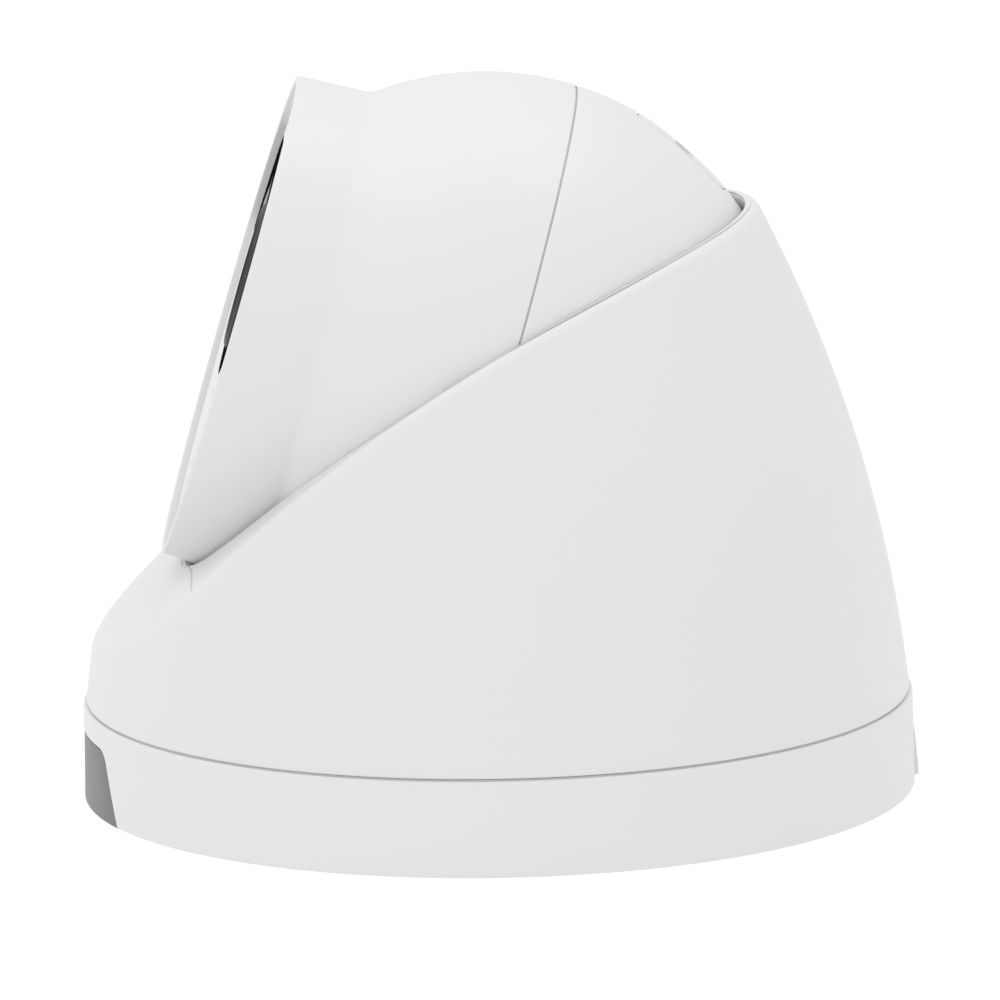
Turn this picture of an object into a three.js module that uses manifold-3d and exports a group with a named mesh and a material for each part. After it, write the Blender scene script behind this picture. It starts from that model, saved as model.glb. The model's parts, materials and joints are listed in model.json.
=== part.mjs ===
// Turret security camera: a base, a panning cover, a tilt shoe and a camera ball.
// Millimetres, +Z up from the mounting face. The origin is on the pan axis at the base's underside.
// The lens looks towards -Y and, at rest, 17.3 degrees up. The tilt axis is parallel to X.
// Angles written as "degrees" around the base are counted from -Y towards +X.
import * as THREE from 'three';
import { mergeVertices } from 'three/addons/utils/BufferGeometryUtils.js';
import { ParametricGeometry } from 'three/addons/geometries/ParametricGeometry.js';
import Module from 'manifold-3d';

const wasm = await Module();
wasm.setup();

const GAP = 0.3;                 // clearance between touching pieces
const RAD = Math.PI / 180;

// ---- base ----
const BASE_SIDES = 40;
const BASE_R = 69.15;            // outer radius at the mounting face
const BASE_TOP_R = 68.9;
const BASE_EDGE = 1.2;           // rounding of the upper edge
const BASE_H = 15.7;
const BASE_WALL = 2.7;
const FLOOR_T = 2.6;
const COLLAR_R = 65.5;           // collar behind the parting line
const COLLAR_T = 1.2;
const COLLAR_H = 17.4;
const RIB_R = 57;                // pan bearing rib
const RIB_H = 12;
const CABLE_HOLE_R = 13;
const GASKET_IN = 57.9;
const GASKET_OUT = 60.7;
const GASKET_H = 1.1;
const MOUNT_ANGLES = [60, 180, 300];
const MOUNT_CIRCLE_R = 42;
const MOUNT_HOLE_R = 2.4;
const CLIP_ANGLES = [75, 195, 315];
const CLIP_CIRCLE_R = 62.5;
const CLIP_T = 1.4;
const LOCK_Z = 13.2;             // height of the lock screw that grips the turntable's edge
const LOCK_R = 1.5;
const PLUG_X = 9.3;              // side cable entry: centre, half widths and height
const PLUG_TOP = 14;
const PLUG_BOTTOM = 19.2;
const PLUG_H = 11.6;
const PLUG_IN = 62.5;
const PLUG_CORNER = 3;
const TAB_W = 8;                 // pry tab at the back

// ---- turntable and cover ----
const TABLE_Z0 = 13.3;
const TABLE_Z1 = 15.7;
const TABLE_R = 59.2;
const TABLE_IN = 34;
const COVER_SCREW_ANGLES = [75, 180, 285];
const COVER_SCREW_R = 49;
const COVER_BOSS_H = 24.5;
const COVER_Z = 16.1;            // bottom edge of the cover
const COVER_WALL = 2.3;
const COVER_SLICES = 48;
const OUTER_STEPS = 7;
const INNER_STEPS = 8;
const BELL_ARC_R = 229.87;       // the bell's side is one arc, turned about Z
const BELL_ARC_C = -160.25;
const BELL_ARC_Z = -7.93;
const RIM_ARC_R = 187.11;        // the opening's rim, seen from the side, is one arc
const RIM_ARC_Y = 89.37;
const RIM_ARC_Z = -83.78;
const RAMP_Y = -55.3;            // in front of this the rim runs on as a straight ramp
const RAMP_SLOPE = 0.7;
const HOLE_Y = -49.6;            // front edge of the opening
const RELIEF_Y = -51.8;          // its middle, relieved for the camera's flange
const RELIEF_BOW = 0.0095;
const WELL_DROP = 1.8;           // the well round the ball lies this far below the rim surface
const WELL_T = 2.8;
const WELL_FRONT = -53.6;
const WELL_BACK = -8;
const WELL_GAP = 0.7;            // clearance from all that the flange sweeps as it rolls

// ---- tilt guide and shoe, radii from the ball's centre ----
const SHOE_R = 14;
const SHOE_IN = 51.2;
const SHOE_OUT = 53.6;
const SHOE_SEAT = 53;            // floor of the hub nut's pocket
const GUIDE_OUT = 56.2;
const GUIDE_X = 14.4;
const GUIDE_T = 2.2;
const GUIDE_LIP = 3;
const GUIDE_TOP = 11;            // degrees below the horizon, behind the ball
const GUIDE_BRIDGE = 92;
const GUIDE_BOTTOM = 95;
const SOLE_T = 2.4;
const SOLE_SCREW_X = 22.5;
const SOLE_SCREW_Y = 34.5;

// ---- camera ball, lengths "s" along the lens axis from its centre ----
const SHELL_SIDES = 36;
const BALL_Y = -1.3;
const BALL_Z = 68.5;
const BALL_R = 50.8;
const BALL_GAP = 0.5;
const REST_TILT = 17.3;          // degrees above the horizon
const SHELL_T = 2.4;
const SHELL_IN = BALL_R - SHELL_T;
const SEAM_S = -1;               // joint between the two shells
const SEAM_GROOVE = 0.7;
const FLANGE_V = -1.3;           // the flange and face are a little below the lens axis
const FLANGE_ROOT = 23;          // the flange's hidden end, inside the sphere
const FLANGE_DRAFT = Math.tan(3 * RAD);
const LIP_S = 43.5;
const LIP_R = 40.9;
const FACE_RECESS = 1.9;         // the face and all behind it sit this far back in the flange
const SEAT_S = 39;               // ledge that the front plate rests on
const SEAT_W = 3;
const HUB_BORE = 4.3;            // cable way through the rear hub
const HUB_R = 6.5;
const HUB_END = -55.6;
const NUT_R = 9.4;
const NUT_T = 2;

// ---- front plate; "v" is up across the face ----
const BEZEL_R = 39.4;
const BEZEL_BACK = 41.2;
const PANEL_BACK = 42.6;
const FACE_S = 43.7;
const WINDOW_TOP = 27;
const WINDOW_BOTTOM = 10.5;
const WINDOW_BULGE = 16.8;       // radius of the window's lower edge round the lens
const EYE_V = 7;                 // lens centre
const EYE_HOLE_R = 12.6;
const EYE_RING_R = 12.3;
const GLASS_R = 9.6;
const BARREL_R = 9.4;
const LED_X = 23.5;
const LED_V = 16.5;
const LED_R = 5.4;
const SENSOR_V = 22.6;
const MIC_V = -13.5;
const SPEAKER_V = -26;

// ---- electronics, stacked along the lens axis ----
const LED_BOARD_S = 33.4;        // this and the face's own lengths are before the recess
const BOARD_T = 1.6;
const CHASSIS_S = 8.6;
const CHASSIS_T = 2.2;
const CHASSIS_R = 43.4;
const CHASSIS_SCREW_R = 37.2;
const CHASSIS_ANGLES = [0, 120, 240];
const MAIN_BOARD_S = 1.3;
const CHIP_TOP = 5.1;
const MAIN_BOARD_R = 34;
const MAIN_SCREWS = [[-24, -18], [24, 18]];

// ---- service opening: lengths from the ball's centre along its own direction ----
const SERVICE_ANGLE = -114.7;    // that direction, about X from the lens axis
const SERVICE_TURN = 12;         // and then about the lens axis
const SERVICE_W = 26;
const SERVICE_L = 18.5;
const SERVICE_CORNER = 3.5;
const SERVICE_SEAT = 47.5;
const SERVICE_OUT = 49.9;
const SERVICE_HEAD = 48.6;       // underside of the screw heads
const SERVICE_SCREW_X = 11.2;
const CARD_BOARD_H = 34.6;
const CARD_BOARD_T = 1.2;
const CARD_POSTS = [[-11, -7], [11, 7]];
const BUTTON_X = 6.6;

// ---- finishes ----
const WHITE = { color: 0xe4e5e7, roughness: 0.42, metalness: 0 };
const PALE = { color: 0xc9cacc, roughness: 0.5, metalness: 0 };
const GREY = { color: 0x8c8e91, roughness: 0.5, metalness: 0 };
const BLACK = { color: 0x0c0d10, roughness: 0.08, metalness: 0 };
const DARK = { color: 0x1d1e20, roughness: 0.5, metalness: 0 };
const RUBBER = { color: 0x222325, roughness: 0.85, metalness: 0 };
const GLASS = { color: 0x31364a, roughness: 0.04, metalness: 0 };
const STEEL = { color: 0xb4b6b8, roughness: 0.3, metalness: 1 };
const ALU = { color: 0xa9abad, roughness: 0.45, metalness: 1 };
const BOARD = { color: 0x14502f, roughness: 0.5, metalness: 0 };
const LED = { color: 0xe8e2c8, roughness: 0.15, metalness: 0 };

// ---- solids ----
function solid(geometry) {
  const bare = geometry.clone();
  bare.deleteAttribute('normal');
  bare.deleteAttribute('uv');
  const merged = mergeVertices(bare, 1e-4);
  return new wasm.Manifold(new wasm.Mesh({
    numProp: 3,
    vertProperties: new Float32Array(merged.attributes.position.array),
    triVerts: new Uint32Array(merged.index.array),
  }));
}

function geometryOf(body) {
  const mesh = body.getMesh();
  const geometry = new THREE.BufferGeometry();
  geometry.setAttribute('position', new THREE.BufferAttribute(mesh.vertProperties, 3));
  geometry.setIndex(new THREE.BufferAttribute(mesh.triVerts, 1));
  geometry.computeVertexNormals();
  return geometry;
}

const union = (first, ...rest) => rest.reduce((sum, body) => sum.add(body), first);
const cut = (first, ...rest) => rest.reduce((left, body) => left.subtract(body), first);

// A [radius, height] loop turned about Z; it starts and ends on the axis or closes on itself.
function turned(loop, segments) {
  const points = loop.map(([r, h]) => new THREE.Vector2(r, h));
  const offAxis = loop[0][0] > 0 || loop[loop.length - 1][0] > 0;
  if (offAxis) points.push(points[0].clone());
  return solid(new THREE.LatheGeometry(points, segments).rotateX(Math.PI / 2));
}

function ring(rIn, rOut, z0, z1, segments) {
  return turned([[rIn, z0], [rOut, z0], [rOut, z1], [rIn, z1]], segments);
}

function disc(r, z0, z1, segments) {
  const cylinder = new THREE.CylinderGeometry(r, r, z1 - z0, segments).rotateX(Math.PI / 2);
  return solid(cylinder.translate(0, 0, (z0 + z1) / 2));
}

function block(x0, x1, y0, y1, z0, z1) {
  const box = new THREE.BoxGeometry(x1 - x0, y1 - y0, z1 - z0);
  return solid(box.translate((x0 + x1) / 2, (y0 + y1) / 2, (z0 + z1) / 2));
}

function extruded(shape, depth, curveSegments = 4) {
  return solid(new THREE.ExtrudeGeometry(shape, { depth, bevelEnabled: false, curveSegments }));
}

// A shape drawn in Y and Z, drawn out along X from x0 to x1.
function alongX(shape, x0, x1) {
  return extruded(shape, x1 - x0).rotate([90, 0, 90]).translate([x0, 0, 0]);
}

function arcPoints(cx, cy, r, from, to, steps) {
  const at = (i) => from + (to - from) * i / steps;
  return Array.from({ length: steps + 1 }, (_, i) => [cx + r * Math.cos(at(i)), cy + r * Math.sin(at(i))]);
}

// Part of a sphere's section, from one radius to another, in front of or behind its centre.
function sphereArc(r, rFrom, rTo, steps, side = 1) {
  const points = arcPoints(0, 0, r, Math.acos(rFrom / r), Math.acos(rTo / r), steps);
  return points.map(([x, s]) => [x, side * s]);
}

const polar = (r, degrees) => [r * Math.sin(degrees * RAD), -r * Math.cos(degrees * RAD)];
const aroundZ = (body, r, degrees) => body.translate([...polar(r, degrees), 0]);

// A screw along Z: the head's underside at z, the shank below it, a slot on top.
function screw(headR, headH, shankR, shankL, z = 0) {
  const slot = block(-headR - 1, headR + 1, -0.35, 0.35, z + headH / 2, z + headH + 1);
  return cut(union(disc(headR, z, z + headH, 10), disc(shankR, z - shankL, z + 0.01, 6)), slot);
}

const camera = new THREE.Group();
const ballFrame = new THREE.Group();             // its +Z is the lens axis, its +Y is up the face
ballFrame.position.set(0, BALL_Y, BALL_Z);
ballFrame.rotation.x = (90 - REST_TILT) * RAD;
camera.add(ballFrame);
const faceFrame = new THREE.Group();             // the same, on the flange's centre line and recessed
faceFrame.position.set(0, FLANGE_V, -FACE_RECESS);
ballFrame.add(faceFrame);

function add(name, body, finish, parent = camera) {
  const mesh = new THREE.Mesh(geometryOf(body), new THREE.MeshStandardMaterial(finish));
  mesh.name = name;
  parent.add(mesh);
}

// ---- base ----
function entryPrism(grow) {
  const shape = new THREE.Shape();
  const top = PLUG_TOP + grow;
  const height = PLUG_H + grow;
  const below = grow * 4;
  const bottom = PLUG_BOTTOM + grow + below / 2;
  shape.moveTo(PLUG_X - bottom, -below);
  shape.lineTo(PLUG_X + bottom, -below);
  shape.lineTo(PLUG_X + top + 1, height - PLUG_CORNER);
  shape.quadraticCurveTo(PLUG_X + top, height, PLUG_X + top - PLUG_CORNER, height);
  shape.lineTo(PLUG_X - top + PLUG_CORNER, height);
  shape.quadraticCurveTo(PLUG_X - top, height, PLUG_X - top - 1, height - PLUG_CORNER);
  return extruded(shape, 35, 3).rotate([90, 0, 0]).translate([0, -40, 0]);
}

function baseHousing() {
  const wallIn = BASE_R - BASE_WALL;
  const collarIn = COLLAR_R - COLLAR_T;
  const cup = turned([
    [CABLE_HOLE_R, 0], [BASE_R - 0.4, 0], [BASE_R, 0.4],
    ...arcPoints(BASE_TOP_R - BASE_EDGE, BASE_H - BASE_EDGE, BASE_EDGE, 0, Math.PI / 2, 2),
    [COLLAR_R, BASE_H], [COLLAR_R, COLLAR_H], [collarIn, COLLAR_H], [collarIn, BASE_H - 3],
    [wallIn, BASE_H - 5], [wallIn, FLOOR_T], [RIB_R + 1, FLOOR_T], [RIB_R + 1, RIB_H],
    [RIB_R - 1, RIB_H], [RIB_R - 1, FLOOR_T], [CABLE_HOLE_R + 3, FLOOR_T],
    [CABLE_HOLE_R + 3, FLOOR_T + 2.4], [CABLE_HOLE_R, FLOOR_T + 2.4],
  ], BASE_SIDES);
  const bosses = CLIP_ANGLES.map((a) => aroundZ(disc(2.9, 1, BASE_H, 12), CLIP_CIRCLE_R, a));
  const pilots = CLIP_ANGLES.map((a) => aroundZ(disc(1.3, 8, 20, 8), CLIP_CIRCLE_R, a));
  const posts = MOUNT_ANGLES.map((a) => aroundZ(disc(6, 1, 5.4, 14), MOUNT_CIRCLE_R, a));
  const holes = MOUNT_ANGLES.map((a) => aroundZ(
    union(disc(MOUNT_HOLE_R, -1, 9, 12), disc(4.6, 3.4, 9, 12)), MOUNT_CIRCLE_R, a));
  const tab = alongX(new THREE.Shape([
    new THREE.Vector2(66, 1), new THREE.Vector2(BASE_R + 0.55, 1), new THREE.Vector2(BASE_R + 0.55, 2.2),
    new THREE.Vector2(BASE_R - 0.15, 9.2), new THREE.Vector2(66, 9.2),
  ]), -TAB_W / 2, TAB_W / 2);
  const groove = ring(GASKET_IN - GAP, GASKET_OUT + GAP, -1, GASKET_H + GAP, BASE_SIDES);
  const entry = entryPrism(GAP).intersect(ring(PLUG_IN - GAP, BASE_R + 10, -5, 30, BASE_SIDES));
  const lockHole = disc(LOCK_R + 0.2, 55, 75, 10).rotate([0, -90, 0]).translate([0, 0, LOCK_Z]);
  return cut(union(cup, ...bosses, ...posts, tab), ...pilots, ...holes, groove, entry, lockHole);
}

function entryPlug() {
  const wall = turned([
    [PLUG_IN, 0], [BASE_R - 0.15, 0], [BASE_R - 0.35, 14], [PLUG_IN, 14]], BASE_SIDES);
  return entryPrism(0).intersect(wall);
}

function lockScrew() {
  const hex = disc(0.85, 67, 70, 6);
  return cut(disc(LOCK_R, TABLE_R + GAP, 68.3, 10), hex).rotate([0, -90, 0]).translate([0, 0, LOCK_Z]);
}

function turntableClip(degrees) {
  const arm = block(-5, 5, -1, 5.2, BASE_H + GAP, BASE_H + GAP + CLIP_T);
  return aroundZ(cut(arm, disc(1.7, 10, 22, 8)).rotate([0, 0, degrees]), CLIP_CIRCLE_R, degrees);
}

add('base_housing', baseHousing(), WHITE);
add('base_gasket', ring(GASKET_IN, GASKET_OUT, 0, GASKET_H, BASE_SIDES), RUBBER);
add('cable_entry_plug', entryPlug(), GREY);
add('cable_grommet', turned([
  [9.5, 0.4], [CABLE_HOLE_R - GAP, 0.4], [CABLE_HOLE_R - GAP, 5.4], [CABLE_HOLE_R + 2.4, 5.4],
  [CABLE_HOLE_R + 2.4, 6.6], [9.5, 6.6]], 24), RUBBER);
add('base_lock_screw', lockScrew(), STEEL);
CLIP_ANGLES.forEach((degrees, i) => {
  add(`turntable_clip_${i + 1}`, turntableClip(degrees), STEEL);
  const top = BASE_H + CLIP_T + 2 * GAP;
  add(`clip_screw_${i + 1}`, aroundZ(screw(2.4, 1.4, 1, 6.5, top), CLIP_CIRCLE_R + 0.1, degrees), STEEL);
});

// ---- cover and turntable, turning about Z ----
const bell = (z) => BELL_ARC_C + Math.sqrt(BELL_ARC_R ** 2 - (z - BELL_ARC_Z) ** 2);
const rimArc = (y) => RIM_ARC_Z + Math.sqrt(RIM_ARC_R ** 2 - (y - RIM_ARC_Y) ** 2);
const rampHeight = (y) => rimArc(RAMP_Y) + RAMP_SLOPE * (y - RAMP_Y);
const rimHeight = (y) => (y > RAMP_Y ? rimArc(y) : rampHeight(y));

// Where the bell meets the rim surface, phi radians from -Y.
function rimPoint(phi) {
  let low = 20;
  let high = 110;
  for (let i = 0; i < 40; i += 1) {
    const z = (low + high) / 2;
    if (rimHeight(-bell(z) * Math.cos(phi)) > z) low = z;
    else high = z;
  }
  return [bell(low), low];
}

const flangeRadius = (s) => LIP_R + (LIP_S - s) * FLANGE_DRAFT;

// Radius, from the pan axis, of a sphere about the ball's centre.
function sphereRadius(r, z, phi) {
  const inside = r * r - (z - BALL_Z) ** 2;
  const side = BALL_Y * Math.sin(phi);
  return inside > side * side ? -BALL_Y * Math.cos(phi) + Math.sqrt(inside - side * side) : 0;
}

const innerRadius = (z, phi) => Math.max(bell(z) - COVER_WALL, sphereRadius(BALL_R + BALL_GAP, z, phi));

// The opening's front edge is straight, and relieved in its middle.
function holeRadius(phi) {
  const x = BALL_R * Math.sin(phi);
  const y = Math.min(HOLE_Y, RELIEF_Y + RELIEF_BOW * x * x);
  return Math.cos(phi) > 0.1 ? -y / Math.cos(phi) : Infinity;
}

function resampled(points, count) {
  const path = new THREE.CurvePath();
  for (let i = 1; i < points.length; i += 1) {
    path.add(new THREE.LineCurve(new THREE.Vector2(...points[i - 1]), new THREE.Vector2(...points[i])));
  }
  return path.getSpacedPoints(count).map((p) => [p.x, p.y]);
}

// Cross-section of the cover, phi radians from -Y, as a closed loop of [radius, height].
function coverSection(phi) {
  const edgeDrop = 0.6;
  const thick = COVER_WALL * 1.25;
  const [rTop, zTop] = rimPoint(phi);
  const rimIn = Math.max(innerRadius(zTop, phi), rTop - COVER_WALL - 0.3);
  const rEdge = Math.min(holeRadius(phi), rimIn);
  const onRamp = rTop - rEdge > COVER_WALL + 0.6;
  const zEdge = onRamp ? rampHeight(-rEdge * Math.cos(phi)) : zTop;
  const loop = [];
  for (let i = 0; i < OUTER_STEPS; i += 1) {
    const z = COVER_Z + (zTop - 0.8 - COVER_Z) * i / (OUTER_STEPS - 1);
    loop.push([bell(z), z]);
  }
  loop.push([rTop - 0.7, zTop], [rEdge + edgeDrop, zEdge], [rEdge, zEdge - edgeDrop]);
  const ledge = onRamp ? rEdge : Math.max(rEdge, innerRadius(zEdge - thick, phi));
  const inner = [[rEdge, zEdge - edgeDrop], [ledge, zEdge - thick]];
  const top = Math.min(onRamp ? Math.min(zTop, zEdge) - thick : Infinity, zEdge - edgeDrop - thick) - 0.5;
  for (let i = 0; i <= INNER_STEPS; i += 1) {
    const z = top + (COVER_Z - top) * i / INNER_STEPS;
    inner.push([innerRadius(z, phi), z]);
  }
  return [...loop, ...resampled(inner, INNER_STEPS).slice(1)];
}

function coverShell() {
  const turn = (i) => 2 * Math.PI * i / COVER_SLICES;
  const sections = Array.from({ length: COVER_SLICES }, (_, i) => coverSection(turn(i)));
  const count = sections[0].length;
  const surface = (u, v, target) => {
    const slice = Math.round(u * COVER_SLICES) % COVER_SLICES;
    const [r, z] = sections[slice][Math.round(v * count) % count];
    target.set(r * Math.sin(turn(slice)), -r * Math.cos(turn(slice)), z);
  };
  return solid(new ParametricGeometry(surface, COVER_SLICES, count));
}

function coverBoss(degrees) {
  const web = block(-1.1, 1.1, -66, -COVER_SCREW_R, TABLE_Z1 + GAP + 4.2, COVER_BOSS_H);
  const post = disc(3.6, TABLE_Z1 + GAP, COVER_BOSS_H, 10).translate([0, -COVER_SCREW_R, 0]);
  return union(post, web).rotate([0, 0, degrees]);
}

// A well round the front of the ball, from the bell's inside to the ball and its flange.
function ballWell() {
  const at = (i) => WELL_FRONT + (WELL_BACK - WELL_FRONT) * i / 10;
  const below = (y, drop) => new THREE.Vector2(y, rimHeight(y) - drop);
  const edge = (drop) => Array.from({ length: 11 }, (_, i) => below(at(i), drop));
  const profile = new THREE.Shape([...edge(WELL_DROP + WELL_T), ...edge(WELL_DROP).reverse()]);
  const heights = Array.from({ length: 11 }, (_, i) => 30 + 5 * i);
  const inside = turned([
    [0, 30], ...heights.map((z) => [bell(z) - COVER_WALL / 2, z]), [0, 80]], COVER_SLICES);
  const sweep = flangeRadius(LIP_S) - FLANGE_V + WELL_GAP;
  const reach = [[0, FLANGE_ROOT], [sweep + 1, FLANGE_ROOT], [sweep, LIP_S], [sweep, 60], [0, 60]];
  const flange = turned(reach, 60)
    .rotate([90 - REST_TILT, 0, 0]);
  const ball = union(solid(new THREE.SphereGeometry(BALL_R + BALL_GAP, 60, 40)), flange)
    .translate([0, BALL_Y, BALL_Z]);
  return cut(alongX(profile, -60, 60).intersect(inside), ball);
}

function cover() {
  const pilots = COVER_SCREW_ANGLES.map((a) => aroundZ(disc(1.3, 10, 22, 8), COVER_SCREW_R, a));
  return cut(union(coverShell(), ballWell(), ...COVER_SCREW_ANGLES.map(coverBoss)), ...pilots);
}

function turntable() {
  const plate = ring(TABLE_IN, TABLE_R, TABLE_Z0, TABLE_Z1, BASE_SIDES);
  const coverHoles = COVER_SCREW_ANGLES.map((a) => aroundZ(disc(1.7, 0, 30, 8), COVER_SCREW_R, a));
  const soleHoles = [-1, 1].map((side) => disc(1.2, 0, 30, 8)
    .translate([side * SOLE_SCREW_X, SOLE_SCREW_Y, 0]));
  return cut(plate, ...coverHoles, ...soleHoles);
}

// A band between two radii about the tilt axis, between two angles below the horizon.
function tiltBand(rIn, rOut, from, to, steps) {
  const outer = arcPoints(0, 0, rOut, -from * RAD, -to * RAD, steps);
  const inner = arcPoints(0, 0, rIn, -to * RAD, -from * RAD, steps);
  return new THREE.Shape([...outer, ...inner].reverse().map(([y, z]) => new THREE.Vector2(y, z)));
}

// One side of the guide: a cheek, its inward lip, a leg and a sole screwed to the turntable.
function guideSide(side) {
  const foot = TABLE_Z1 + GAP - BALL_Z;
  const outer = GUIDE_X + GUIDE_T;
  const span = (a, b) => (side > 0 ? [a, b] : [-b, -a]);
  const leg = new THREE.Shape([[23, foot], [45, foot], [44, -30.5], [34.5, -41], [26.5, -46.6]]
    .map(([y, z]) => new THREE.Vector2(y, z)));
  const cheek = alongX(tiltBand(SHOE_IN, GUIDE_OUT, GUIDE_TOP, GUIDE_BOTTOM, 14), ...span(GUIDE_X, outer));
  const lip = alongX(tiltBand(SHOE_OUT + GAP, GUIDE_OUT, GUIDE_TOP, GUIDE_BOTTOM, 14),
    ...span(GUIDE_X - GUIDE_LIP, outer));
  const sole = block(...span(GUIDE_X, 28), 29, 42, foot, foot + SOLE_T);
  const hole = disc(1.5, foot - 2, foot + 6, 8).translate([side * SOLE_SCREW_X, SOLE_SCREW_Y - BALL_Y, 0]);
  return cut(union(cheek, lip, alongX(leg, ...span(GUIDE_X, outer)), sole), hole);
}

function tiltGuide() {
  const outer = GUIDE_X + GUIDE_T;
  const bridge = alongX(tiltBand(SHOE_IN, GUIDE_OUT, GUIDE_BRIDGE, GUIDE_BOTTOM, 1), -outer, outer);
  return union(guideSide(-1), guideSide(1), bridge).translate([0, BALL_Y, BALL_Z]);
}

add('cover', cover(), WHITE);
add('turntable', turntable(), PALE);
add('pan_friction_ring', ring(RIB_R - 1.6, RIB_R + 1.6, RIB_H + GAP, TABLE_Z0 - GAP, BASE_SIDES), RUBBER);
COVER_SCREW_ANGLES.forEach((degrees, i) => {
  const upward = screw(2.8, 1.6, 1, 7.5).rotate([180, 0, 0]).translate([0, 0, TABLE_Z0 - GAP]);
  add(`cover_screw_${i + 1}`, aroundZ(upward, COVER_SCREW_R, degrees), STEEL);
});
add('tilt_guide', tiltGuide(), PALE);
[-1, 1].forEach((side) => {
  const downward = screw(2.6, 1.5, 0.9, 4.8, TABLE_Z1 + 2 * GAP + SOLE_T);
  add(side > 0 ? 'guide_screw_right' : 'guide_screw_left',
    downward.translate([side * SOLE_SCREW_X, SOLE_SCREW_Y, 0]), STEEL);
});

// ---- tilt shoe, sliding in the guide about the tilt axis ----
add('tilt_shoe', turned([
  ...sphereArc(SHOE_OUT, 9.9, SHOE_R, 3, -1), ...sphereArc(SHOE_IN, SHOE_R, HUB_R + 0.4, 3, -1),
  [HUB_R + 0.4, -SHOE_SEAT], [9.9, -SHOE_SEAT],
], 28), ALU, ballFrame);

// ---- shells of the ball, turning about the lens axis ----
const radiusAt = (r, s) => Math.sqrt(r ** 2 - s ** 2);

// The front shell: part of a sphere and a round flange, hollowed together.
function frontShell() {
  const seam = SEAM_S + SEAM_GROOVE / 2;
  const seamIn = radiusAt(SHELL_IN, seam);
  const opening = BEZEL_R + GAP;
  const ledge = BEZEL_R - SEAT_W;
  const skin = sphereArc(BALL_R, radiusAt(BALL_R, seam), 36.5, 7);
  const dome = turned([[0, seam], ...skin, [0, 35]], SHELL_SIDES);
  const flange = turned([
    [0, FLANGE_ROOT], [flangeRadius(FLANGE_ROOT), FLANGE_ROOT], [LIP_R + 0.15, LIP_S - 0.4],
    [LIP_R - 0.3, LIP_S], [0, LIP_S]], SHELL_SIDES).translate([0, FLANGE_V, 0]);
  const hollow = turned([
    [0, seam - 2], [seamIn, seam - 2], ...sphereArc(SHELL_IN, seamIn, 30, 6), [0, 37]], SHELL_SIDES);
  const bore = turned([
    [0, FLANGE_ROOT], [flangeRadius(FLANGE_ROOT) - 3, FLANGE_ROOT], [flangeRadius(37) - 2.2, SEAT_S - 4.3],
    [ledge, SEAT_S - 2], [ledge, SEAT_S], [opening, SEAT_S], [opening, 50], [0, 50],
  ], SHELL_SIDES).translate([0, FLANGE_V, 0]);
  const boss = cut(disc(3.4, CHASSIS_S + CHASSIS_T + GAP, 30, 8), disc(1.3, CHASSIS_S, 22, 6));
  const bosses = CHASSIS_ANGLES.map((a) => aroundZ(boss, CHASSIS_SCREW_R, a));
  return union(cut(union(dome, flange), hollow, bore), ...bosses);
}

const onService = (body) => body.rotate([SERVICE_ANGLE, 0, SERVICE_TURN]);

function servicePad(w, l, h0, h1) {
  const shape = new THREE.Shape();
  const x = w / 2 - SERVICE_CORNER;
  const y = l / 2 - SERVICE_CORNER;
  shape.absarc(x, -y, SERVICE_CORNER, -Math.PI / 2, 0, false);
  shape.absarc(x, y, SERVICE_CORNER, 0, Math.PI / 2, false);
  shape.absarc(-x, y, SERVICE_CORNER, Math.PI / 2, Math.PI, false);
  shape.absarc(-x, -y, SERVICE_CORNER, Math.PI, 1.5 * Math.PI, false);
  return onService(extruded(shape, h1 - h0).translate([0, 0, h0]));
}

const atServiceScrews = (body) => [-1, 1].map((side) => onService(
  body.translate([side * SERVICE_SCREW_X, 0, 0])));

function rearShell() {
  const seam = SEAM_S - SEAM_GROOVE / 2;
  const shell = turned([
    [HUB_BORE, HUB_END], [HUB_R, HUB_END], ...sphereArc(BALL_R, HUB_R, radiusAt(BALL_R, seam), 9, -1),
    ...sphereArc(SHELL_IN, radiusAt(SHELL_IN, seam), HUB_BORE, 7, -1),
  ], SHELL_SIDES);
  const pad = servicePad(SERVICE_W + 4, SERVICE_L + 4, 44.8, 48.6)
    .intersect(solid(new THREE.SphereGeometry(BALL_R - 1, 20, 14)));
  const posts = CARD_POSTS.map(([x, y]) => onService(
    cut(disc(1.8, CARD_BOARD_H + CARD_BOARD_T + GAP, 46, 8), disc(0.9, 30, 42, 6)).translate([x, y, 0])));
  const seat = servicePad(SERVICE_W + 0.8, SERVICE_L + 0.8, SERVICE_SEAT, 60);
  const well = servicePad(SERVICE_W - 7, SERVICE_L - 5, 40, 60);
  return cut(union(shell, pad, ...posts), seat, well, ...atServiceScrews(disc(0.9, 44, 52, 8)));
}

function serviceCover() {
  const plate = servicePad(SERVICE_W, SERVICE_L, SERVICE_SEAT + 0.6, SERVICE_OUT);
  const holes = atServiceScrews(union(disc(1, 40, 60, 8), disc(1.9, SERVICE_HEAD - 0.05, 60, 10)));
  return cut(plate.intersect(solid(new THREE.SphereGeometry(BALL_R, 36, 24))), ...holes);
}

function serviceSeal() {
  const sheet = servicePad(SERVICE_W - 0.6, SERVICE_L - 0.6, SERVICE_SEAT + 0.25, SERVICE_SEAT + 0.45);
  const inside = servicePad(SERVICE_W - 4.5, SERVICE_L - 4, SERVICE_SEAT - 1, SERVICE_SEAT + 1);
  return cut(sheet, inside, ...atServiceScrews(disc(1.2, 40, 60, 8)));
}

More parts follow.
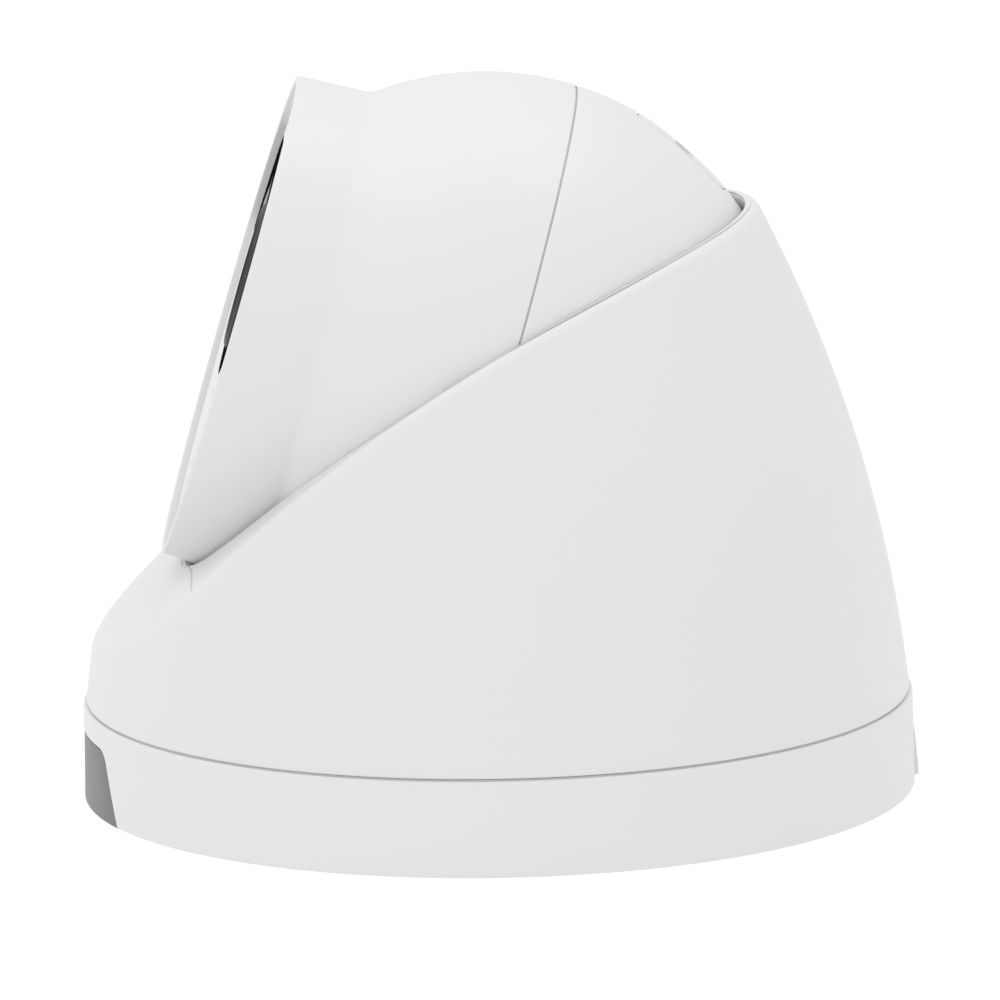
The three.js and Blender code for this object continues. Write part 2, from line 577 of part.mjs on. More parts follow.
add('front_shell', frontShell(), WHITE, ballFrame);
add('rear_shell', rearShell(), WHITE, ballFrame);
add('shell_seal', ring(46.2, 47.9, SEAM_S - 2.6, SEAM_S + 2.6, SHELL_SIDES), PALE, ballFrame);
add('service_cover', serviceCover(), WHITE, ballFrame);
add('service_seal', serviceSeal(), RUBBER, ballFrame);
atServiceScrews(screw(1.6, 0.45, 0.6, 3.2, SERVICE_HEAD)).forEach((body, i) => {
  add(`service_screw_${i + 1}`, body, STEEL, ballFrame);
});

// ---- front plate and window ----
// The dark window: a band across the face that widens downwards round the lens.
function windowPrism(grow, s0, s1) {
  const shape = new THREE.Shape();
  const r = WINDOW_BULGE + grow;
  const turn = 25 * RAD;
  const shoulder = WINDOW_BOTTOM - 0.7 - grow;
  const side = BEZEL_R + 2;
  shape.moveTo(-side, WINDOW_TOP + grow);
  shape.lineTo(-side, WINDOW_BOTTOM - grow);
  shape.lineTo(-21, shoulder);
  shape.quadraticCurveTo(-16.4 - grow, shoulder - 1.2, -r * Math.cos(turn), EYE_V - r * Math.sin(turn));
  shape.absarc(0, EYE_V, r, Math.PI + turn, 2 * Math.PI - turn, false);
  shape.quadraticCurveTo(16.4 + grow, shoulder - 1.2, 21, shoulder);
  shape.lineTo(side, WINDOW_BOTTOM - grow);
  shape.lineTo(side, WINDOW_TOP + grow);
  shape.quadraticCurveTo(0, WINDOW_TOP + 3 + grow, -side, WINDOW_TOP + grow);
  return extruded(shape, s1 - s0, 6).translate([0, 0, s0]);
}

// The plate's rounded face, as a full disc of the given radius.
function facePlate(r, back) {
  return turned([
    [0, back], [r, back], [r, FACE_S - 0.9], [r - 0.7, FACE_S - 0.3], [r - 4, FACE_S], [0, FACE_S],
  ], SHELL_SIDES);
}

function eyeHole() {
  return disc(EYE_HOLE_R, 30, 50, 24).translate([0, EYE_V, 0]);
}

function bezel() {
  const posts = [-1, 1].map((side) => disc(2, LED_BOARD_S + BOARD_T + GAP, 41.3, 8)
    .translate([side * 14.5, 21.5, 0]));
  const ledHoles = [-1, 1].map((side) => disc(LED_R + 0.6, 40, 50, 14).translate([side * LED_X, LED_V, 0]));
  const speakerHoles = [0, 60, 120, 180, 240, 300].map((a) => disc(0.75, 40, 46, 6)
    .translate([4 * Math.cos(a * RAD), SPEAKER_V + 4 * Math.sin(a * RAD), 0]));
  const pinholes = [
    disc(0.75, 40, 46, 6).translate([0, SPEAKER_V, 0]),
    disc(0.7, 40, 50, 6).translate([0, MIC_V, 0]),
    disc(1.9, 40, 50, 8).translate([0, SENSOR_V, 0]),
  ];
  const plate = union(facePlate(BEZEL_R, BEZEL_BACK), ...posts);
  const recess = windowPrism(GAP, PANEL_BACK - GAP, 50);
  return cut(plate, recess, eyeHole(), ...ledHoles, ...speakerHoles, ...pinholes);
}

add('bezel', bezel(), WHITE, faceFrame);
add('window_panel', cut(windowPrism(0, PANEL_BACK, 50).intersect(facePlate(BEZEL_R - 0.3, 42)), eyeHole()),
  BLACK, faceFrame);

// ---- lens and sensor, on the lens centre line ----
const onEye = (body) => body.translate([0, EYE_V, 0]);

add('lens_ring', onEye(turned([
  [10.8, LED_BOARD_S + BOARD_T + GAP], [EYE_RING_R, LED_BOARD_S + BOARD_T + GAP], [EYE_RING_R, 43.9],
  [11.6, 44.3], [10.3, 43.6], [GLASS_R + GAP, 43], [GLASS_R + GAP, 40.6], [10.8, 40.6]], 24)),
DARK, faceFrame);
add('front_lens', onEye(turned([
  [0, 40.9], [GLASS_R, 40.9], [GLASS_R, 41.9], [8, 42.7], [5.6, 43.4], [2.9, 43.8], [0, 43.9]], 24)),
GLASS, faceFrame);
add('lens_barrel', onEye(turned([
  [5.6, 21], [8.6, 21], [8.6, 30], [BARREL_R, 31], [BARREL_R, 40.6], [5.6, 40.6]], 20)), DARK, faceFrame);
add('lens_holder', onEye(cut(block(-12, 12, -12, 12, 14.9, 20.7), disc(6, 10, 30, 14))), DARK, faceFrame);
add('image_sensor', onEye(block(-4, 4, -3.2, 3.2, 14.9, 16.1)), DARK, faceFrame);
add('sensor_board', onEye(block(-17, 17, -15, 15, 13, 14.6)), BOARD, faceFrame);

// ---- lights, sound and boards ----
const ledBoard = block(-29, 29, 8.5, 24.5, LED_BOARD_S, LED_BOARD_S + BOARD_T);
add('led_board', cut(ledBoard, onEye(disc(10.4, 30, 40, 20))), BOARD, faceFrame);
[-1, 1].forEach((side) => {
  const lamp = turned([
    [0, LED_BOARD_S + BOARD_T + GAP], [LED_R, LED_BOARD_S + BOARD_T + GAP], [LED_R, 39.2], [4.6, 41.2],
    [2.6, 42], [0, 42.2]], 14);
  add(side > 0 ? 'led_right' : 'led_left', lamp.translate([side * LED_X, LED_V, 0]), LED, faceFrame);
});
add('light_sensor', disc(1.5, LED_BOARD_S + BOARD_T + GAP, 42, 8).translate([0, SENSOR_V, 0]),
  GLASS, faceFrame);
add('microphone', disc(2.6, 36, 40.9, 10).translate([0, MIC_V, 0]), DARK, faceFrame);
add('speaker', turned([[0, 33], [5, 33], [5, 36], [9, 37], [9, 40.9], [0, 40.9]], 16)
  .translate([0, SPEAKER_V, 0]), DARK, faceFrame);

function chassisPlate() {
  const plate = disc(CHASSIS_R, CHASSIS_S, CHASSIS_S + CHASSIS_T, 32);
  const cableSlot = block(-7, 7, -33, -20, 5, 20);
  const holes = CHASSIS_ANGLES.map((a) => aroundZ(disc(1.6, 5, 20, 8), CHASSIS_SCREW_R, a));
  const spacers = MAIN_SCREWS.map(([x, y]) => disc(2.6, MAIN_BOARD_S + BOARD_T + GAP, CHASSIS_S + 0.5, 8)
    .translate([x, y, 0]));
  const pilots = MAIN_SCREWS.map(([x, y]) => disc(1.3, 0, CHASSIS_S, 6).translate([x, y, 0]));
  return cut(union(plate, ...spacers), cableSlot, ...holes, ...pilots);
}

function mainBoard() {
  const holes = MAIN_SCREWS.map(([x, y]) => disc(1.4, 0, 10, 6).translate([x, y, 0]));
  const board = disc(MAIN_BOARD_R, MAIN_BOARD_S, MAIN_BOARD_S + BOARD_T, 28);
  return cut(board, block(-7, 7, -35, -24, 0, 10), ...holes);
}

add('chassis_plate', chassisPlate(), ALU, ballFrame);
CHASSIS_ANGLES.forEach((degrees, i) => {
  const forward = screw(2.6, 1.5, 1, 6).rotate([180, 0, 0]).translate([0, 0, CHASSIS_S - GAP]);
  add(`chassis_screw_${i + 1}`, aroundZ(forward, CHASSIS_SCREW_R, degrees), STEEL, ballFrame);
});
add('main_board', mainBoard(), BOARD, ballFrame);
MAIN_SCREWS.forEach(([x, y], i) => {
  const forward = screw(2.6, 1.4, 1, 5.5).rotate([180, 0, 0]).translate([x, y, MAIN_BOARD_S - GAP]);
  add(`board_screw_${i + 1}`, forward, STEEL, ballFrame);
});
add('processor', block(-8, 8, -6, 10, MAIN_BOARD_S + BOARD_T + GAP, CHIP_TOP), DARK, ballFrame);
add('thermal_pad', block(-8, 8, -6, 10, CHIP_TOP + GAP, CHASSIS_S - GAP), GREY, ballFrame);

// ---- behind the service cover ----
const CARD_TOP = CARD_BOARD_H + CARD_BOARD_T + GAP;

function cardBoard() {
  const board = block(-12.8, 12.8, -9, 9, CARD_BOARD_H, CARD_BOARD_H + CARD_BOARD_T);
  return cut(board, ...CARD_POSTS.map(([x, y]) => disc(1, 30, 40, 6).translate([x, y, 0])));
}

add('card_board', onService(cardBoard()), BOARD, ballFrame);
CARD_POSTS.forEach(([x, y], i) => {
  const outward = screw(1.7, 1, 0.6, 4.5).rotate([180, 0, 0]).translate([x, y, CARD_BOARD_H - GAP]);
  add(`card_screw_${i + 1}`, onService(outward), STEEL, ballFrame);
});
add('card_socket', onService(cut(block(-8.6, 2.8, -5, 6, CARD_TOP, CARD_TOP + 2.2),
  block(-7.6, 1.8, -6, 5, CARD_TOP + 0.5, CARD_TOP + 1.7))), STEEL, ballFrame);
add('memory_card', onService(block(-7.2, 1.4, -7.2, 4.6, CARD_TOP + 0.8, CARD_TOP + 1.4)), DARK, ballFrame);
add('reset_switch', onService(cut(block(3.6, 9.6, -3, 3, CARD_TOP, CARD_TOP + 2.6),
  disc(1.9, CARD_TOP + 0.6, 50, 12).translate([BUTTON_X, 0, 0]))), DARK, ballFrame);
add('reset_button', onService(disc(1.5, CARD_TOP + 1.1, CARD_TOP + 4.2, 12).translate([BUTTON_X, 0, 0])),
  PALE, ballFrame);

// ---- rear hub ----
const nutBore = disc(HUB_R + GAP, -60, -50, 20);
const nut = disc(NUT_R, -SHOE_SEAT - GAP - NUT_T, -SHOE_SEAT - GAP, 6);
add('hub_nut', cut(nut, nutBore), STEEL, ballFrame);
add('cable_gland', turned([
  [2.6, HUB_END - 0.6], [6, HUB_END - 0.6], [6, HUB_END - GAP], [4, HUB_END - GAP], [4, -47.7],
  [5.6, -47.7], [5.6, -46.4], [2.6, -46.4]], 14), RUBBER, ballFrame);

export default camera;
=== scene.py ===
"""Looks of the turret security camera: fine surfaces, materials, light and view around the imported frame."""
import json
import math

import bmesh
import bpy
import numpy as np
from mathutils import Matrix, Vector

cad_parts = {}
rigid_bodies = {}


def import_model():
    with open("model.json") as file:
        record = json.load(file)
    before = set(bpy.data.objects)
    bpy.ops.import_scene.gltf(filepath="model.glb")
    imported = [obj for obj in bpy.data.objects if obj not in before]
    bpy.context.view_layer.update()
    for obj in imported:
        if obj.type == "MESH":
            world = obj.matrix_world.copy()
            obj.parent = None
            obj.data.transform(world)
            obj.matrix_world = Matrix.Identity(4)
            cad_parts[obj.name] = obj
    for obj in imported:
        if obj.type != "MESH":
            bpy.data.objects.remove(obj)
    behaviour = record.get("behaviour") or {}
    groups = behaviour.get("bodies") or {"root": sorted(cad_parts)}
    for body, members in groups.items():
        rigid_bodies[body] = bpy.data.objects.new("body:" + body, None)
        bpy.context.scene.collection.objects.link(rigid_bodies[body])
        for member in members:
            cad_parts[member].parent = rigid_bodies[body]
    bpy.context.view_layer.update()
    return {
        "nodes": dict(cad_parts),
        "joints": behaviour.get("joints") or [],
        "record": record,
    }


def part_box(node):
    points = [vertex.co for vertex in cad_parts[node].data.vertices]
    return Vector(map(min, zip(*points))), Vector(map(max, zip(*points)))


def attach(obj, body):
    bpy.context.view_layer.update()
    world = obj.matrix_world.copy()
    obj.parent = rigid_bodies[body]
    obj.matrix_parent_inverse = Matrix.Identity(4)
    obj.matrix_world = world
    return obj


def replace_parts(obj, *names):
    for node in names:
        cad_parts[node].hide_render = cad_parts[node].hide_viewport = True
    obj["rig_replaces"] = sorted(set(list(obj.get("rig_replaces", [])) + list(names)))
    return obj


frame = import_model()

MM = 0.001
TURN = 2 * math.pi

# ---- places, from the frame ----
JOINTS = {joint["name"]: joint for joint in frame["joints"]}
CENTRE = Vector(JOINTS["tilt"]["pos_m"])
LENS = Vector(JOINTS["roll"]["axis"]).normalized()
SERVICE = -Vector(JOINTS["reset_press"]["axis"]).normalized()
SIDE = Vector((1, 0, 0))


def spot(origin, forward, side=SIDE):
    """A place whose +Z is forward and whose +X is the side, with lengths in millimetres."""
    up = forward.cross(side).normalized()
    axes = Matrix((side, up, forward)).transposed().to_4x4()
    return Matrix.Translation(origin) @ axes @ Matrix.Scale(MM, 4)


ROW = Matrix.Scale(MM, 4)
ALONG_X = ROW @ Matrix(((0, 0, 1, 0), (1, 0, 0, 0), (0, 1, 0, 0), (0, 0, 0, 1)))     # outlines in Y and Z
BALL = spot(CENTRE, LENS)
HATCH = spot(CENTRE, SERVICE, SERVICE.cross(LENS).normalized())

# ---- driving dimensions, in millimetres ----
GAP = 0.3
BASE_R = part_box("base_housing")[1].x / MM
BASE_TOP_R = 68.9
BASE_H = 15.7
COLLAR_R = 65.5
COVER_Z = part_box("cover")[0].z / MM
COVER_WALL = 2.3
BELL_ARC = (229.87, -160.25, -7.93)      # radius of the bell's side, and where its centre is
RIM_ARC = (187.11, 89.37, -83.78)        # the same for the opening's rim, seen from the side
RAMP_Y = -55.3
RAMP_SLOPE = 0.7
HOLE_Y = -49.6
RELIEF_Y = -51.8
RELIEF_X = 12
WELL_DROP = 0.4                          # the well round the ball lies below the rim surface
WELL_T = 2.8
WELL_FRONT = -53.6
WELL_BACK = -8
WELL_GAP = 0.7
BALL_R = 50.76
BALL_GAP = 0.35
SHELL_IN = 48.4
SEAM_S = -1
SEAM_GROOVE = 0.34
SEAM_DEPTH = 0.5
FLANGE_V = -1.3                          # the flange and face are a little below the lens axis
DRAFT = math.tan(math.radians(3))
LIP_S = 43.5
LIP_R = 40.9
FACE_RECESS = 1.2                        # the face and all behind it sit this far back in the flange
SEAT_S = 39.7
BEZEL_R = 39.4
BEZEL_BACK = 41.2
PANEL_BACK = 42.6
FACE_S = 43.7
HUB_BORE = 4.3
HUB_R = 6.5
HUB_END = -55.6
EYE_V = 7
EYE_HOLE_R = 12.6
LED_X = 23.5
LED_V = 16.5
SENSOR_V = 22.6
MIC_V = -13.5
SPEAKER_V = -26
HATCH_W = 26
HATCH_L = 18.5
HATCH_CORNER = 3.5
HATCH_SEAT = 47.5
HATCH_OUT = 49.9
HATCH_HEAD = 48.6
HATCH_SCREW_X = 11.2
MOUNT_R = 42                             # circle of the mounting holes
MOUNT_ANGLES = (60, 180, 300)
CLIP_R = 62.5                            # circle of the turntable clips
CLIP_ANGLES = (75, 195, 315)
COVER_SCREW_R = 49
COVER_SCREW_ANGLES = (75, 180, 285)
CHASSIS_SCREW_R = 37.2
CHASSIS_ANGLES = (0, 120, 240)
CARD_POSTS = ((-11, -7), (11, 7))
SPEAKER_HOLE_R = 0.75
SPEAKER_RING_R = 4
EDGE_EASE = 0.8                          # round edge of the opening
PARTING = 0.12                           # half the line between base and cover


# ---- mesh tools ----
def finish_mesh(name, mesh, material, body, stands_for=(), sharp=30):
    """Makes the object of a mesh in the row frame, smooth up to an angle, and says what it is."""
    mesh.polygons.foreach_set("use_smooth", [True] * len(mesh.polygons))
    mesh.set_sharp_from_angle(angle=math.radians(sharp))
    mesh.materials.clear()
    mesh.materials.append(material)
    piece = bpy.data.objects.new(name, mesh)
    bpy.context.scene.collection.objects.link(piece)
    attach(piece, body)
    if stands_for:
        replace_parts(piece, *stands_for)
    return piece


def mesh_of(points, faces, place):
    mesh = bpy.data.meshes.new("shape")
    mesh.from_pydata([place @ Vector(p) for p in points], [], faces)
    tidy = bmesh.new()
    tidy.from_mesh(mesh)
    bmesh.ops.remove_doubles(tidy, verts=tidy.verts, dist=1e-7)
    bmesh.ops.recalc_face_normals(tidy, faces=tidy.faces)
    tidy.to_mesh(mesh)
    tidy.free()
    return mesh


def eased(points, steps=5, closed=True):
    """A polyline whose corners (x, y, ease) are rounded off over the length ease on both sides."""
    out = []
    count = len(points)
    for i, point in enumerate(points):
        here = Vector(point[:2])
        ease = point[2] if len(point) > 2 else 0
        if not ease or (not closed and i in (0, count - 1)):
            out.append(tuple(here))
            continue
        before = Vector(points[i - 1][:2])
        after = Vector(points[(i + 1) % count][:2])
        start = here + (before - here).normalized() * ease
        end = here + (after - here).normalized() * ease
        for k in range(steps + 1):
            t = k / steps
            out.append(tuple(start * (1 - t) ** 2 + here * 2 * t * (1 - t) + end * t * t))
    return out


def lathe(loop, place=ROW, segments=192):
    """A closed loop of (radius, height) turned about the place's Z."""
    points = []
    faces = []
    count = len(loop)
    for i in range(segments):
        c, s = math.cos(TURN * i / segments), math.sin(TURN * i / segments)
        points += [(r * c, r * s, h) for r, h in loop]
    for i in range(segments):
        for k in range(count):
            a, b = i * count + k, i * count + (k + 1) % count
            c, d = (i + 1) % segments * count + (k + 1) % count, (i + 1) % segments * count + k
            on_axis = loop[k][0] == 0, loop[(k + 1) % count][0] == 0
            if all(on_axis):
                continue
            faces.append((a, b, d) if on_axis[1] else (a, b, c) if on_axis[0] else (a, b, c, d))
    return mesh_of(points, faces, place)


def around(sections, place):
    """Closed sections of (radius, height), evenly spaced about the place's Z from +X, joined by one skin."""
    slices, count = len(sections), len(sections[0])
    points = []
    faces = []
    for i, section in enumerate(sections):
        c, s = math.cos(TURN * i / slices), math.sin(TURN * i / slices)
        points += [(r * c, r * s, h) for r, h in section]
        after = (i + 1) % slices
        for k in range(count):
            beside = (k + 1) % count
            faces.append((i * count + k, after * count + k, after * count + beside, i * count + beside))
    return mesh_of(points, faces, place)


def prism(outline, z0, z1, place=ROW):
    """An outline of (x, y) drawn out from z0 to z1."""
    count = len(outline)
    points = [(x, y, z) for z in (z0, z1) for x, y in outline]
    sides = [(k, (k + 1) % count, count + (k + 1) % count, count + k) for k in range(count)]
    caps = [tuple(reversed(range(count))), tuple(range(count, 2 * count))]
    return mesh_of(points, sides + caps, place)


def circle(r, x=0, y=0, count=48):
    return [(x + r * math.cos(TURN * i / count), y + r * math.sin(TURN * i / count)) for i in range(count)]


def bar(r, z0, z1, x=0, y=0, place=ROW, count=48):
    return prism(circle(r, x, y, count), z0, z1, place)


def box(x0, x1, y0, y1, z0, z1, place=ROW):
    return prism([(x0, y0), (x1, y0), (x1, y1), (x0, y1)], z0, z1, place)


def through_modifiers(mesh, settings):
    """The mesh after modifiers, each given as (type, {property: value})."""
    holder = bpy.data.objects.new("holder", mesh)
    bpy.context.scene.collection.objects.link(holder)
    for kind, values in settings:
        modifier = holder.modifiers.new(kind, kind)
        for key, value in values.items():
            setattr(modifier, key, value)
    shown = holder.evaluated_get(bpy.context.evaluated_depsgraph_get())
    result = bpy.data.meshes.new_from_object(shown)
    bpy.data.objects.remove(holder)
    return result


def combine(mesh, others, operation):
    tools = []
    for other in others:
        tool = bpy.data.objects.new("tool", other)
        bpy.context.scene.collection.objects.link(tool)
        tools.append(tool)
    steps = [("BOOLEAN", {"operation": operation, "solver": "EXACT", "object": tool}) for tool in tools]
    result = through_modifiers(mesh, steps)
    for tool in tools:
        bpy.data.objects.remove(tool)
    return result


def cut(mesh, *others):
    return combine(mesh, others, "DIFFERENCE")


def joined(mesh, *others):
    return combine(mesh, others, "UNION")


def overlap(mesh, *others):
    return combine(mesh, others, "INTERSECT")


def broken_edges(mesh, width, segments=2, angle=35):
    """Sharp edges rounded by a small bevel, with no bevel on smooth stretches."""
    return through_modifiers(mesh, [("BEVEL", {
        "width": width * MM, "segments": segments, "limit_method": "ANGLE",
        "angle_limit": math.radians(angle), "use_clamp_overlap": True})])


def polar(r, degrees):
    """A point at that angle from -Y towards +X."""
    return r * math.sin(math.radians(degrees)), -r * math.cos(math.radians(degrees))


def sphere_arc(r, r_from, r_to, steps, side=1):
    a, b = math.acos(r_from / r), math.acos(r_to / r)
    angles = [a + (b - a) * i / steps for i in range(steps + 1)]
    return [(r * math.cos(t), side * r * math.sin(t)) for t in angles]


# ---- materials ----
PLASTIC_IOR = 1.46


def shader(name):
    material = bpy.data.materials.new(name)
    material.use_nodes = True
    tree = material.node_tree
    return material, tree, tree.nodes["Principled BSDF"]


def node(tree, kind, inputs=(), **properties):
    made = tree.nodes.new(kind)
    for key, value in properties.items():
        setattr(made, key, value)
    for key, value in dict(inputs).items():
        if isinstance(value, bpy.types.NodeSocket):
            tree.links.new(value, made.inputs[key])
        else:
            made.inputs[key].default_value = value
    return made


def noise(tree, per_metre, detail=3):
    place = node(tree, "ShaderNodeTexCoord").outputs["Object"]
    made = node(tree, "ShaderNodeTexNoise", {"Vector": place, "Scale": per_metre, "Detail": detail})
    return made.outputs["Fac"]


def spread(tree, value, low, high):
    scaled = node(tree, "ShaderNodeMapRange", {"Value": value, "From Min": 0.3, "From Max": 0.7,
                                               "To Min": low, "To Max": high})
    return scaled.outputs["Result"]


def mixed(tree, value, first, second):
    mix = node(tree, "ShaderNodeMix", data_type="RGBA")
    tree.links.new(value, mix.inputs["Factor"])
    mix.inputs["A"].default_value = (*first, 1)
    mix.inputs["B"].default_value = (*second, 1)
    return mix.outputs["Result"]


def moulded(name, colour, rough, grain=2600, depth=0.006, vary=0.015):
    """Moulded plastic: a fine erosion texture, slight flow marks in the colour and an uneven sheen."""
    material, tree, surface = shader(name)
    darker = [c * (1 - vary) for c in colour]
    tree.links.new(mixed(tree, noise(tree, 45, 2), darker, colour), surface.inputs["Base Color"])
    tree.links.new(spread(tree, noise(tree, 160, 4), rough - 0.03, rough + 0.03), surface.inputs["Roughness"])
    bump = node(tree, "ShaderNodeBump", {"Height": noise(tree, grain, 2), "Strength": 0.25,
                                         "Distance": depth * MM})
    tree.links.new(bump.outputs["Normal"], surface.inputs["Normal"])
    surface.inputs["IOR"].default_value = PLASTIC_IOR
    return material


def metal(name, colour, rough, grain=900):
    """Bare metal with fine marks."""
    material, tree, surface = shader(name)
    marks = noise(tree, grain, 4)
    tree.links.new(mixed(tree, marks, [c * 0.85 for c in colour], colour), surface.inputs["Base Color"])
    tree.links.new(spread(tree, marks, rough - 0.06, rough + 0.08), surface.inputs["Roughness"])
    bump = node(tree, "ShaderNodeBump", {"Height": marks, "Strength": 0.2, "Distance": 0.01 * MM})
    tree.links.new(bump.outputs["Normal"], surface.inputs["Normal"])
    surface.inputs["Metallic"].default_value = 1
    return material


def polished(name, colour, rough, transmission=0, ior=1.5):
    """A polished piece with faint smears in its gloss."""
    material, tree, surface = shader(name)
    tree.links.new(spread(tree, noise(tree, 70, 3), rough, rough + 0.03), surface.inputs["Roughness"])
    tree.links.new(mixed(tree, noise(tree, 30, 1), [c * 0.9 for c in colour], colour),
                   surface.inputs["Base Color"])
    surface.inputs["Transmission Weight"].default_value = transmission
    surface.inputs["IOR"].default_value = ior
    return material


def coated_window():
    """Dark polished plastic whose coating keeps down its reflection at low angles."""
    material = polished("smoked_window", (0.006, 0.006, 0.008), 0.03, ior=1.49)
    tree = material.node_tree
    facing = node(tree, "ShaderNodeLayerWeight", {"Blend": 0.5}).outputs["Facing"]
    level = node(tree, "ShaderNodeMapRange", {"Value": facing, "From Min": 0.55, "From Max": 0.92,
                                              "To Min": 0.5, "To Max": 0.0})
    tree.links.new(level.outputs["Result"], tree.nodes["Principled BSDF"].inputs["Specular IOR Level"])
    return material


WHITE = moulded("white_satin_plastic", (0.73, 0.73, 0.745), 0.44)
PALE = moulded("plain_moulded_plastic", (0.58, 0.59, 0.6), 0.5, vary=0.03)
GREY = moulded("grey_plastic", (0.155, 0.155, 0.165), 0.42, vary=0.04)
DARK = moulded("matt_black_plastic", (0.014, 0.014, 0.015), 0.5, grain=3200, vary=0.2)
RUBBER = moulded("black_rubber", (0.016, 0.016, 0.017), 0.8, grain=1500, depth=0.02, vary=0.25)
SMOKED = coated_window()
GLASS = polished("coated_lens_glass", (0.75, 0.8, 0.95), 0.0, transmission=1, ior=1.6)
RESIN = polished("lamp_resin", (0.75, 0.72, 0.6), 0.08, transmission=0.4)
STEEL = metal("zinc_plated_steel", (0.5, 0.5, 0.51), 0.3)
CAST = metal("die_cast_aluminium", (0.42, 0.43, 0.44), 0.45, grain=1400)
PAD = moulded("thermal_pad", (0.25, 0.27, 0.3), 0.7, vary=0.1)


def circuit_board():
    """Green solder mask with finer, lighter tracks under it."""
    material, tree, surface = shader("green_circuit_board")
    place = node(tree, "ShaderNodeTexCoord").outputs["Object"]
    tracks = node(tree, "ShaderNodeTexBrick", {
        "Vector": place, "Scale": 330, "Mortar Size": 0.06, "Mortar": (0.02, 0.16, 0.06, 1),
        "Color1": (0.01, 0.08, 0.03, 1), "Color2": (0.012, 0.1, 0.04, 1)})
    tree.links.new(tracks.outputs["Color"], surface.inputs["Base Color"])
    tree.links.new(spread(tree, noise(tree, 300, 3), 0.3, 0.42), surface.inputs["Roughness"])
    return material


BOARD = circuit_board()
FINISH = {
    "white_plastic": WHITE, "pale_plastic": PALE, "grey_plastic": GREY, "smoked_window": SMOKED,
    "dark_plastic": DARK, "rubber": RUBBER, "lens_glass": GLASS, "led_resin": RESIN, "steel": STEEL,
    "aluminium": CAST, "circuit_board": BOARD, "thermal_pad": PAD,
}
SLOT = {part["node"]: part["material_slot"] for part in frame["record"]["subparts"]}
BODY = {name: body for body, names in frame["record"]["behaviour"]["bodies"].items() for name in names}


def piece(node_name, mesh, sharp=30):
    """The fine piece that stands for one CAD node, with that node's body and slot."""
    slot = SLOT[node_name]
    return finish_mesh(f"{node_name}_fine", mesh, FINISH[slot], BODY[node_name], [node_name], sharp)


# ---- base ----
def entry_outline(grow):
    """The side cable entry's outline, in X and Z."""
    x, top, bottom, height, corner = 9.3, 14 + grow, 19.2 + grow * 3, 11.6 + grow, 3.2
    below = -4 * grow
    return eased([(x - bottom, below), (x + bottom, below), (x + top + 1, height - corner),
                  (x + top, height, corner), (x - top, height, corner), (x - top - 1, height - corner)])


def entry_prism(grow):
    upright = ROW @ Matrix.Rotation(math.radians(90), 4, "X")
    return prism(entry_outline(grow), 40, 75, upright)


def base_housing():
    profile = eased([
        (13, 0, 0.3), (57.6, 0, 0.2), (57.6, 1.4), (61, 1.4), (61, 0, 0.2), (BASE_R, 0, 0.45),
        (BASE_TOP_R, BASE_H, 0.6), (67.9, BASE_H), (67.9, COVER_Z - PARTING), (COLLAR_R, COVER_Z - PARTING),
        (COLLAR_R, 17.4, 0.3), (64.3, 17.4, 0.3),
        (64.3, 12.7, 0.3), (66.45, 10.7, 0.5), (66.45, 2.6, 0.8), (58, 2.6, 0.5), (58, 12, 0.4),
        (56, 12, 0.4), (56, 2.6, 0.5), (16, 2.6, 0.5), (16, 5, 0.4), (13, 5, 0.4)])
    cup = lathe(profile, segments=288)
    keep = lathe([(62.2, -5), (80, -5), (80, 30), (62.2, 30)], segments=96)
    notch = overlap(entry_prism(GAP), keep)
    tab = prism([(66, 1), (69.65, 1), (69.65, 2.2), (69, 9.1), (66, 9.1)], -4, 4, ALONG_X)
    posts = [bar(6, 1, 5.4, *polar(MOUNT_R, a)) for a in MOUNT_ANGLES]
    bosses = [bar(2.9, 1, BASE_H, *polar(CLIP_R, a)) for a in CLIP_ANGLES]
    holes = [bar(2.4, -1, 9, *polar(MOUNT_R, a)) for a in MOUNT_ANGLES]
    holes += [bar(4.6, 3.4, 9, *polar(MOUNT_R, a)) for a in MOUNT_ANGLES]
    holes += [bar(1.3, 8, 20, *polar(CLIP_R, a), count=24) for a in CLIP_ANGLES]
    sideways = ROW @ Matrix.Rotation(math.radians(-90), 4, "Y") @ Matrix.Translation((13.2, 0, 0))
    holes.append(bar(1.7, 55, 75, place=sideways))
    solid = cut(joined(cup, *posts, *bosses, tab), notch, *holes)
    return broken_edges(solid, 0.25)


def entry_plug():
    wall = lathe([(62.5, 0), (BASE_R - 0.15, 0), (BASE_R - 0.35, 14), (62.5, 14)], segments=288)
    return broken_edges(overlap(entry_prism(0), wall), 0.3, 3)


piece("base_housing", base_housing())
piece("cable_entry_plug", entry_plug())
piece("base_gasket", lathe(eased([(57.9, 0, 0.25), (60.7, 0, 0.25), (60.7, 1.1, 0.25), (57.9, 1.1, 0.25)])))
piece("cable_grommet", lathe(eased([
    (9.5, 0.4, 0.4), (12.7, 0.4, 0.3), (12.7, 5.4, 0.3),
    (15.4, 5.4, 0.4), (15.4, 6.6, 0.4), (9.5, 6.6, 0.4)]), segments=96))


# ---- cover ----
def bell(z):
    r, centre_r, centre_z = BELL_ARC
    return centre_r + math.sqrt(r ** 2 - (z - centre_z) ** 2)


def rim_arc(y):
    r, centre_y, centre_z = RIM_ARC
    return centre_z + math.sqrt(r ** 2 - (y - centre_y) ** 2)


def rim_height(y):
    return rim_arc(y) if y > RAMP_Y else rim_arc(RAMP_Y) + RAMP_SLOPE * (y - RAMP_Y)


def rim_point(phi):
    """Where the bell meets the rim surface, phi from -Y, as (radius, height)."""
    low, high = 20.0, 110.0
    for _ in range(40):
        z = (low + high) / 2
        if rim_height(-bell(z) * math.cos(phi)) > z:
            low = z
        else:
            high = z
    return bell(low), low


